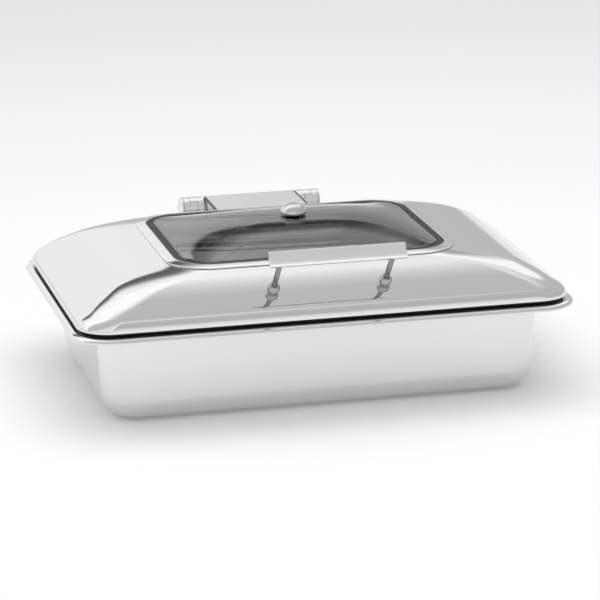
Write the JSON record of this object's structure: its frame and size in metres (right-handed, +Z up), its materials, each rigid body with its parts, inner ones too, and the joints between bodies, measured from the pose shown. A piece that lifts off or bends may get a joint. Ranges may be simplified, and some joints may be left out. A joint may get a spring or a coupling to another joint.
{
  "type": "chafing dish",
  "caption": "Rectangular food warmer: a deep water pan holds a shallow food pan under a domed, windowed lid with a front handle and a rear hinge.",
  "frame": {"origin": "centre of the underside of the induction base plate, on the surface that the dish stands on", "axes": "+Z up, -Y towards the front where the handle is, +X to the right when facing the front"},
  "size_m": [0.59, 0.4619, 0.206],
  "materials": {
    "polished_steel": "mirror-polished stainless sheet",
    "satin_steel": "fine satin stainless",
    "steel_hardware": "plain stainless fastener",
    "magnetic_steel": "ground magnetic stainless base",
    "black_silicone": "matt silicone",
    "window_glass": "clear toughened glass",
    "bearing_bronze": "plain bearing bronze",
    "white_nylon": "matt nylon"
  },
  "bodies": {
    "base": {"water_pan": "polished_steel", "induction_base_plate": "magnetic_steel", "food_pan": "polished_steel", "hinge_base_bracket": "satin_steel", "hinge_knuckle_left": "satin_steel", "hinge_bush_left": "bearing_bronze", "hinge_end_cap_left": "satin_steel", "hinge_knuckle_right": "satin_steel", "hinge_bush_right": "bearing_bronze", "hinge_end_cap_right": "satin_steel", "knuckle_screw_left_front": "steel_hardware", "knuckle_screw_left_rear": "steel_hardware", "knuckle_screw_right_front": "steel_hardware", "knuckle_screw_right_rear": "steel_hardware", "bracket_screw_1": "steel_hardware", "bracket_nut_1": "steel_hardware", "bracket_screw_2": "steel_hardware", "bracket_nut_2": "steel_hardware", "bracket_screw_3": "steel_hardware", "bracket_nut_3": "steel_hardware", "bracket_screw_4": "steel_hardware", "bracket_nut_4": "steel_hardware"},
    "lid": {"lid_shell": "polished_steel", "lid_seal": "black_silicone", "window_frame": "polished_steel", "window_seal": "black_silicone", "window_glass": "window_glass", "glass_cap_nut": "polished_steel", "cap_nut_gasket": "black_silicone", "glass_stud": "steel_hardware", "stud_inner_washer": "black_silicone", "stud_inner_nut": "steel_hardware", "handle_bar": "satin_steel", "handle_post_left": "polished_steel", "handle_ball_left": "polished_steel", "handle_washer_left": "steel_hardware", "handle_nut_left": "steel_hardware", "handle_post_right": "polished_steel", "handle_ball_right": "polished_steel", "handle_washer_right": "steel_hardware", "handle_nut_right": "steel_hardware", "hinge_arm": "satin_steel", "hinge_pin": "steel_hardware", "arm_drive_pin": "steel_hardware", "hinge_collar_left": "satin_steel", "hinge_spacer_left": "white_nylon", "collar_grub_screw_left": "steel_hardware", "hinge_collar_right": "satin_steel", "hinge_spacer_right": "white_nylon", "collar_grub_screw_right": "steel_hardware", "arm_screw_1": "steel_hardware", "arm_screw_2": "steel_hardware", "arm_screw_3": "steel_hardware", "arm_screw_4": "steel_hardware"}
  },
  "joints": [
    {"name": "lid_hinge", "type": "hinge", "parent": "base", "child": "lid", "pos_m": [0, 0.2284, 0.147], "axis": [-1, 0, 0], "range_deg": [0, 95]}
  ]
}
